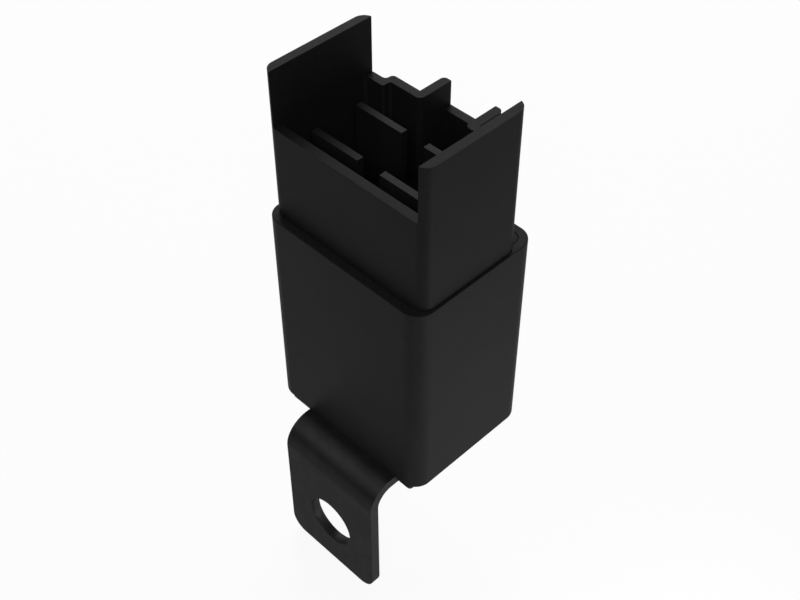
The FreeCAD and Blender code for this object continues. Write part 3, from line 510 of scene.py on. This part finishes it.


# Base and cover share the slot black_moulding; the cover's copy is about a sixth lighter than the
# base's.
BASE_MOULDING = MouldedPlastic("black_moulding", (0.0130, 0.0130, 0.0132))
COVER_MOULDING = MouldedPlastic("black_moulding", (0.0153, 0.0153, 0.0156))
BOBBIN_MOULDING = MouldedPlastic("bobbin_moulding", (0.62, 0.59, 0.50), gloss=0.4)
BLACK_STEEL = CoatedSteel("black_steel", (0.0240, 0.0240, 0.0244), (0.036, 0.036, 0.0365))
COMPOUND = PouredResin("compound", (0.010, 0.010, 0.011))
BLADE_METAL = RolledMetal("blade_metal", (0.0130, 0.0130, 0.0132), (0.44, 0.58), Axis.Z,
                          metallic=0.1, gloss=0.03)
ENAMELLED_COPPER = Enamel("enamelled_copper", (0.50, 0.16, 0.05))
SOFT_IRON = RolledMetal("soft_iron", (0.50, 0.50, 0.48), (0.29, 0.43), Axis.X)
SPRING_STEEL = RolledMetal("spring_steel", (0.56, 0.56, 0.57), (0.22, 0.36), Axis.Z)
LEAF_COPPER = RolledMetal("leaf_copper", (0.72, 0.36, 0.20), (0.26, 0.40), Axis.X)
CONTACT_SILVER = RolledMetal("contact_silver", (0.83, 0.82, 0.79), (0.19, 0.33), Axis.Y,
                             cloud_change=0.04)


@lru_cache(maxsize=None)
def material_of(finish: Finish) -> bpy.types.Material:
    """Build a finish's material once, and give the same one each later time."""
    return finish.material()


# Meshes

def new_object(name: str, data: bpy.types.ID) -> bpy.types.Object:
    """Put an object into the scene.

    Args:
        name: its name.
        data: its mesh, lamp or camera.

    Returns:
        The new object, at the origin.
    """
    thing = bpy.data.objects.new(name, data)
    bpy.context.scene.collection.objects.link(thing)
    return thing


def mesh_of(name: str, places: np.ndarray, faces: list[np.ndarray]) -> bpy.types.Mesh:
    """Put places and faces into a smooth mesh, with sharp edges where its surface turns sharply.

    Args:
        name: the mesh's name.
        places: one row for each vertex.
        faces: arrays of vertex numbers, one row for each face.

    Returns:
        The new mesh.
    """
    mesh = bpy.data.meshes.new(name)
    rows = [row for group in faces for row in group.tolist()]
    mesh.from_pydata(places.tolist(), [], rows)
    mesh.update()
    mesh.shade_smooth()
    mesh.set_sharp_from_angle(angle=SHARP_ANGLE)
    return mesh


def ring_faces(rows: int, columns: int, start: int = 0, joined: bool = False) -> np.ndarray:
    """Quads of a grid whose rows are closed rings.

    Args:
        rows: how many rings there are.
        columns: how many places a ring has.
        start: number of the first vertex.
        joined: whether the last ring is joined to the first.

    Returns:
        One row of four vertex numbers for each quad.
    """
    index = start + np.arange(rows * columns).reshape(rows, columns)
    beside = np.roll(index, -1, axis=1)
    above = np.roll(index, -1, axis=0)
    corner = np.roll(beside, -1, axis=0)
    quads = np.stack([index, beside, corner, above], axis=-1)
    return (quads if joined else quads[:-1]).reshape(-1, 4)


def unit(rows: np.ndarray) -> np.ndarray:
    """Rows scaled to a length of 1."""
    return rows / np.linalg.norm(rows, axis=1, keepdims=True)


def tube(centres: np.ndarray, side: np.ndarray, other: np.ndarray, radius: float, sides: int,
         start: int = 0) -> Surface:
    """Round tube along a line, with flat closed ends.

    Each ring is the centre plus the radius times (cosine of a turn times the side direction plus
    sine of it times the other direction).

    Args:
        centres: one row for each place on the line.
        side: one direction for each place.
        other: one more for each place, square to the line and to the side direction.
        radius: of the tube.
        sides: places round each ring.
        start: number of the first vertex.

    Returns:
        The places, and the faces as arrays of vertex numbers.
    """
    turn = np.linspace(0.0, FULL_TURN, sides, endpoint=False)[None, :, None]
    ring = np.cos(turn) * side[:, None, :] + np.sin(turn) * other[:, None, :]
    places = (centres[:, None, :] + radius * ring).reshape(-1, 3)
    first = start + np.arange(sides)
    last = first + (len(centres) - 1) * sides
    return places, [ring_faces(len(centres), sides, start), first[None, ::-1], last[None, :]]


def strand_along(centres: np.ndarray, radius: float, sides: int, start: int) -> Surface:
    """Round strand along a line that never runs along X.

    The side direction is +X less its part along the line.

    Args:
        centres: one row for each place on the line.
        radius: of the strand.
        sides: places round each ring.
        start: number of the first vertex.

    Returns:
        The places, and the faces as arrays of vertex numbers.
    """
    ahead = unit(np.gradient(centres, axis=0))
    side = unit(np.array([1.0, 0.0, 0.0]) - ahead[:, :1] * ahead)
    return tube(centres, side, np.cross(ahead, side), radius, sides, start)


def wire_along_helix(centres: np.ndarray, middle: np.ndarray, radius: float,
                     sides: int) -> Surface:
    """Round wire along a helix about an upright axis.

    The side direction is the one that looks away from the axis.

    Args:
        centres: places on the helix.
        middle: a point of its axis.
        radius: of the wire.
        sides: places round each ring.

    Returns:
        The places, and the faces as arrays of vertex numbers.
    """
    ahead = unit(np.gradient(centres, axis=0))
    away = unit((centres - middle) * np.array([1.0, 1.0, 0.0]))
    return tube(centres, away, np.cross(ahead, away), radius, sides)


def vertex_places(node: str) -> np.ndarray:
    """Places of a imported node's vertices.

    Args:
        node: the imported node.

    Returns:
        One row for each vertex.
    """
    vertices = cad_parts[node].data.vertices
    places = np.empty(3 * len(vertices))
    vertices.foreach_get("co", places)
    return places.reshape(-1, 3)


def merged_copy(node: str, name: str) -> bpy.types.Mesh:
    """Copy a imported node's loose triangles into one mesh with shared corners and whole flat faces.

    Corners that round to the same multiple of the weld distance become one vertex, triangles left
    with two equal corners are dropped, and flat neighbours are joined into one face.

    Args:
        node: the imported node.
        name: the new mesh's name.

    Returns:
        The new mesh.
    """
    places = vertex_places(node)
    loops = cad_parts[node].data.loops
    corners = np.empty(len(loops), dtype=np.int64)
    loops.foreach_get("vertex_index", corners)
    _, first, joined = np.unique(np.round(places / WELD).astype(np.int64), axis=0,
                                 return_index=True, return_inverse=True)
    faces = joined.reshape(-1)[corners].reshape(-1, 3)
    sound = (faces != np.roll(faces, -1, axis=1)).all(axis=1)
    mesh = bpy.data.meshes.new(name)
    mesh.from_pydata(places[first].tolist(), [], faces[sound].tolist())
    edit = bmesh.new()
    edit.from_mesh(mesh)
    bmesh.ops.dissolve_limit(edit, angle_limit=FLAT_ANGLE, verts=edit.verts, edges=edit.edges)
    edit.to_mesh(mesh)
    edit.free()
    mesh.shade_smooth()
    return mesh


# Sub-assemblies

@dataclass
class SubAssembly(ABC):
    """Pieces that belong together, each added with its finish, body and slot."""

    body: Body = Body.CASE

    @abstractmethod
    def build(self) -> None:
        """Build and dress the pieces."""

    def dress(self, node: str, finish: Finish) -> None:
        """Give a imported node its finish, where its own shape is right.

        Args:
            node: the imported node.
            finish: its finish.
        """
        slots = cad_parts[node].data.materials
        slots.clear()
        slots.append(material_of(finish))
        log.info("%s keeps its shape, in %s", node, finish.name)

    def add(self, mesh: bpy.types.Mesh, finish: Finish, node: str,
            rides: bool = True) -> bpy.types.Object:
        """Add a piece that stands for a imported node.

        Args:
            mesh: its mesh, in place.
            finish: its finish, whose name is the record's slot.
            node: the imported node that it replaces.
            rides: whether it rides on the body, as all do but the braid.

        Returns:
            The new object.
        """
        piece = new_object(mesh.name, mesh)
        mesh.materials.append(material_of(finish))
        if rides:
            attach(piece, self.body.value)
        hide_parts(node)
        log.info("%s has %d faces, in %s", piece.name, len(mesh.polygons), finish.name)
        return piece

    def ease(self, node: str, finish: Finish, width: float, steps: int = 2) -> bpy.types.Object:
        """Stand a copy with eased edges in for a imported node.

        Args:
            node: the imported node.
            finish: its finish.
            width: how wide the rounding of an edge is.
            steps: how many faces the rounding has.

        Returns:
            The new object.
        """
        piece = self.add(merged_copy(node, node + "_eased"), finish, node)
        bevel = piece.modifiers.new("eased_edges", "BEVEL")
        bevel.width = width
        bevel.segments = steps
        bevel.limit_method = "ANGLE"
        bevel.angle_limit = EASED_ANGLE
        bevel.loop_slide = False
        weighted = piece.modifiers.new("flat_faces_stay_flat", "WEIGHTED_NORMAL")
        weighted.mode = "FACE_AREA"
        weighted.weight = LARGE_FACE_WEIGHT
        return piece


@dataclass
class Housing(SubAssembly):
    """Base with its shroud, the cover, and what seals them."""

    moulded_edge: float = 0.10 * MM
    rim_edge: float = 0.10 * MM
    edge_steps: int = 3

    def build(self) -> None:
        """Build and dress the housing."""
        self.ease("base_shroud", BASE_MOULDING, self.moulded_edge, self.edge_steps)
        self.ease("cover", COVER_MOULDING, self.rim_edge, self.edge_steps)
        self.dress("sealing_compound", COMPOUND)
        self.dress("adhesive_ring", COMPOUND)


@dataclass
class Bracket(SubAssembly):
    """Bent steel strip with its fixing hole."""

    sheared_edge: float = 0.10 * MM
    edge_steps: int = 3

    def build(self) -> None:
        """Build and dress the bracket."""
        self.ease("bracket", BLACK_STEEL, self.sheared_edge, self.edge_steps)


@dataclass
class Terminals(SubAssembly):
    """The four terminals, stamped from strip."""

    nodes: tuple[str, ...] = ("coil_terminal_front", "coil_terminal_back", "common_terminal",
                              "contact_terminal")
    stamped_edge: float = 0.03 * MM

    def build(self) -> None:
        """Build and dress the terminals."""
        for node in self.nodes:
            self.ease(node, BLADE_METAL, self.stamped_edge)


@dataclass
class Magnet(SubAssembly):
    """Bobbin, winding, core, yoke and hinge clip."""

    stamped_edge: float = 0.08 * MM
    clip_edge: float = 0.03 * MM
    wire_pitch: float = 0.15 * MM
    ridge: float = 0.028 * MM
    round_steps: int = 64
    pitch_steps: int = 6

    def build(self) -> None:
        """Build and dress the magnet."""
        self.ease("bobbin", BOBBIN_MOULDING, self.stamped_edge)
        self.ease("yoke", SOFT_IRON, self.stamped_edge)
        self.ease("hinge_clip", SPRING_STEEL, self.clip_edge)
        self.dress("core", SOFT_IRON)
        self.dress("clip_rivet", SPRING_STEEL)
        self.add(self.winding(), ENAMELLED_COPPER, "coil_winding")

    def winding(self) -> bpy.types.Mesh:
        """Winding whose outside shows each turn.

        The outer radius at a height and a turn angle is the full radius less the ridge's depth
        times the square of sin(pi * (height / pitch - angle / full turn)), a helix of round
        ridges. Two more rings at the inner radius close the ring at both ends.

        Returns:
            The winding's mesh.
        """
        low, high = (np.array(corner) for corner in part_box("coil_winding"))
        middle = (low + high) / 2.0
        full = (high[0] - low[0]) / 2.0
        inner = np.hypot(*(vertex_places("coil_winding") - middle)[:, :2].T).min()
        turns = max(1, round((high[2] - low[2]) / self.wire_pitch))
        level = np.linspace(0.0, turns, turns * self.pitch_steps + 1)[:, None]
        angle = np.linspace(0.0, FULL_TURN, self.round_steps, endpoint=False)[None, :]
        wave = np.sin(np.pi * (level - angle / FULL_TURN)) ** 2
        radius = np.vstack([full - self.ridge * wave, np.full((2, self.round_steps), inner)])
        heights = low[2] + (high[2] - low[2]) * np.vstack([level / turns, [[1.0], [0.0]]])
        grid = np.stack([middle[0] + radius * np.cos(angle), middle[1] + radius * np.sin(angle),
                         np.broadcast_to(heights, radius.shape)], axis=-1)
        faces = ring_faces(len(radius), self.round_steps, joined=True)
        return mesh_of("coil_turns", grid.reshape(-1, 3), [faces])


@dataclass
class ArmatureSet(SubAssembly):
    """The moving pieces: armature, contact leaf, its rivets and the moving contact."""

    body: Body = Body.ARMATURE_SET
    stamped_edge: float = 0.06 * MM
    leaf_edge: float = 0.03 * MM

    def build(self) -> None:
        """Build and dress the moving pieces."""
        self.ease("armature", SOFT_IRON, self.stamped_edge)
        self.ease("contact_leaf", LEAF_COPPER, self.leaf_edge)
        self.dress("leaf_rivets", SPRING_STEEL)
        self.dress("moving_contact", CONTACT_SILVER)


@dataclass
class Wiring(SubAssembly):
    """Return spring, back stop, fixed contact, braid, resistor and the coil's lead wires."""

    joint: str = "armature_hinge"
    stop_edge: float = 0.05 * MM
    leads: tuple[str, ...] = ("coil_lead_front", "coil_lead_back")
    lacquer_colour: Colour = (0.62, 0.50, 0.33)
    ring_colours: tuple[Colour, ...] = ((0.25, 0.09, 0.03), (0.02, 0.02, 0.02),
                                        (0.45, 0.03, 0.02), (0.5, 0.35, 0.08))
    resistor_half: float = 1.7 * MM
    spring_pitch: float = 1.5 * MM
    spring_wire: float = 0.25 * MM
    spring_sides: int = 12
    closed_room: float = 0.04 * MM
    strands: int = 12
    strand_radius: float = 0.085 * MM
    strand_sides: int = 8
    strand_twists: float = 1.6
    strand_swing: float = 0.6
    braid_bend: float = 0.7 * MM
    line_steps: int = 90

    def build(self) -> None:
        """Build and dress the wiring."""
        self.ease("back_stop", SPRING_STEEL, self.stop_edge)
        self.dress("fixed_contact", CONTACT_SILVER)
        for lead in self.leads:
            self.dress(lead, ENAMELLED_COPPER)
        self.dress("suppression_resistor", self.lacquer())
        self.hang_spring()
        self.hang_braid()

    def lacquer(self) -> BandedLacquer:
        """Finish of the resistor, centred on its body.

        Returns:
            The finish.
        """
        low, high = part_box("suppression_resistor")
        radius = (high.x - low.x) / 2.0
        middle = ((low.x + high.x) / 2.0, (low.y + high.y) / 2.0, low.z + radius)
        return BandedLacquer("resistor_lacquer", self.lacquer_colour, self.ring_colours, middle,
                             self.resistor_half)

    def hang_spring(self) -> None:
        """Add the return spring, which rides on the case."""
        low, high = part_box("return_spring")
        spring = self.add(self.spring(np.array(low), np.array(high)), SPRING_STEEL,
                          "return_spring")
        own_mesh(spring)

    def hang_braid(self) -> None:
        """Add the braid, which rides on no body."""
        braid = self.add(self.braid(), LEAF_COPPER, "braid", rides=False)
        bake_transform(braid)

    def spring(self, low: np.ndarray, high: np.ndarray) -> bpy.types.Mesh:
        """Round wire wound in an open helix.

        It starts at +X at the low end. The height rises evenly, and the angle is a full turn for
        each pitch of that rise.

        Args:
            low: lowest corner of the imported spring.
            high: its highest corner.

        Returns:
            The spring's mesh.
        """
        middle = (low + high) / 2.0
        wire = self.spring_wire / 2.0
        coil = (high[0] - low[0]) / 2.0 - wire
        rise = np.linspace(0.0, high[2] - low[2] - 2.0 * wire, self.line_steps)
        angle = FULL_TURN * rise / self.spring_pitch
        centres = np.column_stack([middle[0] + coil * np.cos(angle),
                                   middle[1] + coil * np.sin(angle), low[2] + wire + rise])
        places, faces = wire_along_helix(centres, middle, wire, self.spring_sides)
        return mesh_of("return_spring_wire", places, faces)

    def braid(self) -> bpy.types.Mesh:
        """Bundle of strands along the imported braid's bent line.

        Each strand runs round the line. Its angle is its own start plus or minus the twists times
        the way along, and half of the strands turn each way. Its distance from the line is the
        braid's radius less the strand's radius times (1 + swing * (1 - cosine of pi times the
        strands times the twists times the way)), with the cosine turned round for every second
        strand, so that they pass over and under.

        Returns:
            The braid's mesh.
        """
        low, high = (np.array(corner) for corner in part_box("braid"))
        thick = (high[0] - low[0]) / 2.0
        line, square = self.bent_line(low, high, thick)
        way = np.linspace(0.0, 1.0, self.line_steps)
        places, faces, start = [], [], 0
        for number in range(self.strands):
            hand = 1.0 if number % 2 else -1.0
            turn = FULL_TURN * (number / self.strands + hand * self.strand_twists * way)
            wave = np.cos(self.strands * np.pi * self.strand_twists * way + np.pi * (number % 2))
            out = thick - self.strand_radius * (1.0 + self.strand_swing * (1.0 - wave))
            across = (out * np.cos(turn))[:, None] * np.array([1.0, 0.0, 0.0])
            centres = line + across + (out * np.sin(turn))[:, None] * square
            some, sides = strand_along(centres, self.strand_radius, self.strand_sides, start)
            places.append(some)
            faces.extend(sides)
            start += len(some)
        return mesh_of("braid_strands", np.vstack(places), faces)

    def bent_line(self, low: np.ndarray, high: np.ndarray,
                  thick: float) -> tuple[np.ndarray, np.ndarray]:
        """Middle line of the braid: level out of the terminal, a quarter turn, and straight down.

        The quarter turn is an arc of the bend's radius. Along the line the direction falls from
        level to upright with the length gone round the arc over the radius.

        Args:
            low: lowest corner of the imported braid.
            high: its highest corner.
            thick: the braid's radius.

        Returns:
            The line's places, and the direction square to the line in its own plane.
        """
        level = (high[1] - low[1] - thick) - self.braid_bend
        upright = (high[2] - thick - low[2]) - self.braid_bend
        arc = self.braid_bend * np.pi / 2.0
        gone = np.linspace(0.0, level + arc + upright, self.line_steps)
        angle = np.clip((gone - level) / self.braid_bend, 0.0, np.pi / 2.0)
        out = np.minimum(gone, level) + self.braid_bend * np.sin(angle)
        down = self.braid_bend * (1.0 - np.cos(angle)) + np.clip(gone - level - arc, 0.0, None)
        middle = np.full(self.line_steps, (low[0] + high[0]) / 2.0)
        line = np.column_stack([middle, high[1] - out, high[2] - thick - down])
        square = np.column_stack([np.zeros(self.line_steps), -np.sin(angle), np.cos(angle)])
        return line, square


# Studio

@dataclass(frozen=True)
class SoftLight:
    """A square soft light aimed at the relay."""

    name: str
    place: Place
    size: float
    share: float
    aim: Place = (0.0, 0.012, 0.025)

    def build(self) -> None:
        """Hang the light.

        Its power is the share times 4 pi times the distance squared, so that a share of 1 lights a
        surface that faces it at the level at which a colour shows as it is written.
        """
        away = Vector(self.place) - Vector(self.aim)
        lamp = bpy.data.lights.new(self.name, "AREA")
        lamp.shape = "SQUARE"
        lamp.size = self.size
        lamp.energy = self.share * 4.0 * math.pi * away.length_squared
        holder = new_object(self.name, lamp)
        holder.location = self.place
        holder.rotation_euler = away.to_track_quat("Z", "Y").to_euler()
        holder.visible_camera = False
        log.info("%s at a share of %.2f", self.name, self.share)


@dataclass(frozen=True)
class Studio:
    """Pale floor, white surroundings, a dark wall far out, and soft lights."""

    floor_half: float = 3.0
    floor_gap: float = 0.05 * MM
    floor_colour: float = 0.86
    floor_change: float = 0.01
    floor_cloud: float = 40.0 * MM
    floor_roughness: float = 0.9
    white_share: float = 0.92
    sky_level: float = 0.02
    wall_radius: float = 1.6
    wall_height: float = 0.55
    wall_steps: int = 48
    wall_colour: float = 0.03
    wall_change: float = 0.1
    wall_cloud: float = 80.0 * MM
    lights: tuple[SoftLight, ...] = (
        SoftLight("key_light", (-0.28, 0.34, 0.46), 0.34, 0.52),
        SoftLight("front_light", (-0.30, -0.31, 0.43), 0.30, 0.08),
        SoftLight("fill_light", (0.30, -0.30, 0.44), 0.25, 0.26),
        SoftLight("right_light", (0.055, 0.012, 0.0062), 0.024, 0.29),
        SoftLight("back_light", (-0.30, 0.32, 0.03), 0.30, 0.60),
    )

    def build(self) -> None:
        """Build the floor, the surroundings and the lights."""
        for light in self.lights:
            light.build()
        self.lay_floor()
        self.raise_wall()
        self.whiten_world()
        bpy.context.scene.view_settings.view_transform = "Standard"

    def shown_white(self, tree: bpy.types.NodeTree) -> Socket:
        """Tell the rays that see white surroundings from those that light.

        Args:
            tree: the node tree to add the test to.

        Returns:
            The socket with 1 for rays from the camera and for reflected or refracted ones, else 0.
        """
        path = tree.nodes.new("ShaderNodeLightPath")
        gathered = path.outputs["Is Camera Ray"]
        for name in ("Is Glossy Ray", "Is Transmission Ray"):
            either = tree.nodes.new("ShaderNodeMath")
            either.operation = "MAXIMUM"
            tree.links.new(gathered, either.inputs[0])
            tree.links.new(path.outputs[name], either.inputs[1])
            gathered = either.outputs[0]
        return gathered

    def lay_floor(self) -> None:
        """Lay the floor just under the lowest point, pale, with the relay's shadow on it."""
        corners = self.floor_half * np.array([[-1.0, -1.0], [1.0, -1.0], [1.0, 1.0], [-1.0, 1.0]])
        level = np.full(len(corners), CAD_BOUNDS[0].z - self.floor_gap)
        mesh = mesh_of("studio_floor", np.column_stack([corners, level]), [np.arange(4)[None, :]])
        floor = new_object("studio_floor", mesh)
        sheet = NodeSheet("studio_floor")
        paper = sheet.tint((self.floor_colour,) * 3, self.floor_change,
                           sheet.noise(self.floor_cloud))
        sheet.finish(Base_Color=paper, Roughness=self.floor_roughness, Specular_IOR_Level=0.0)
        glow = sheet.add("ShaderNodeEmission", {"Color": WHITE, "Strength": 1.0})
        share = sheet.add("ShaderNodeMath", {0: self.shown_white(sheet.tree), 1: self.white_share},
                          operation="MULTIPLY")
        mixed = sheet.add("ShaderNodeMixShader",
                          {0: share.outputs[0], 1: sheet.surface.outputs[0], 2: glow.outputs[0]})
        sheet.feed(sheet.tree.nodes["Material Output"], "Surface", mixed.outputs[0])
        mesh.materials.append(sheet.material)

    def raise_wall(self) -> None:
        """Stand a dark round wall far out, which the camera doesn't see."""
        turn = np.linspace(0.0, FULL_TURN, self.wall_steps, endpoint=False)
        level = CAD_BOUNDS[0].z
        ring = self.wall_radius * np.column_stack([np.cos(turn), np.sin(turn)])
        places = np.vstack([np.column_stack([ring, np.full(len(ring), height)])
                            for height in (level, level + self.wall_height)])
        mesh = mesh_of("studio_wall", places, [ring_faces(2, len(turn))[:, ::-1]])
        wall = new_object("studio_wall", mesh)
        sheet = NodeSheet("studio_wall")
        cloth = sheet.tint((self.wall_colour,) * 3, self.wall_change, sheet.noise(self.wall_cloud))
        mesh.materials.append(sheet.finish(Base_Color=cloth, Roughness=1.0,
                                           Specular_IOR_Level=0.0))
        wall.visible_camera = False

    def whiten_world(self) -> None:
        """White surroundings where they are seen, and a soft even level where they only light."""
        world = bpy.data.worlds.new("studio_world")
        world.use_nodes = True
        tree = world.node_tree
        seen = tree.nodes["Background"]
        seen.inputs["Color"].default_value = WHITE
        seen.inputs["Strength"].default_value = 1.0
        soft = tree.nodes.new("ShaderNodeBackground")
        soft.inputs["Color"].default_value = WHITE
        soft.inputs["Strength"].default_value = self.sky_level
        mixed = tree.nodes.new("ShaderNodeMixShader")
        tree.links.new(self.shown_white(tree), mixed.inputs[0])
        tree.links.new(soft.outputs[0], mixed.inputs[1])
        tree.links.new(seen.outputs[0], mixed.inputs[2])
        tree.links.new(mixed.outputs[0], tree.nodes["World Output"].inputs["Surface"])
        bpy.context.scene.world = world


@dataclass(frozen=True)
class PhotoCamera:
    """Camera that looks down on the front right corner, as the photograph was taken."""

    place: Place = (0.065469, -0.054140, 0.120939)
    azimuth: float = 45.068
    elevation: float = 45.189
    lens: float = 57.46
    sensor: float = 36.0
    nearest: float = 1.0 * MM
    farthest: float = 20.0

    def build(self) -> None:
        """Set up the camera. Azimuth 0 looks along +Y, and elevation is above the horizon."""
        around, above = math.radians(self.azimuth), math.radians(self.elevation)
        level = math.cos(above)
        back = Vector((math.sin(around) * level, -math.cos(around) * level, math.sin(above)))
        data = bpy.data.cameras.new("photo_camera")
        data.lens = self.lens
        data.sensor_width = self.sensor
        data.clip_start = self.nearest
        data.clip_end = self.farthest
        camera = new_object("photo_camera", data)
        camera.location = self.place
        camera.rotation_euler = back.to_track_quat("Z", "Y").to_euler()
        bpy.context.scene.camera = camera


def main() -> None:
    """Build every sub-assembly in order, then the studio and the camera."""
    logging.basicConfig(level=logging.INFO, format="%(name)s: %(message)s")
    for part in (Housing(), Bracket(), Terminals(), Magnet(), ArmatureSet(), Wiring()):
        part.build()
        log.info("%s is done", type(part).__name__)
    Studio().build()
    PhotoCamera().build()


if __name__ == "__main__":
    main()
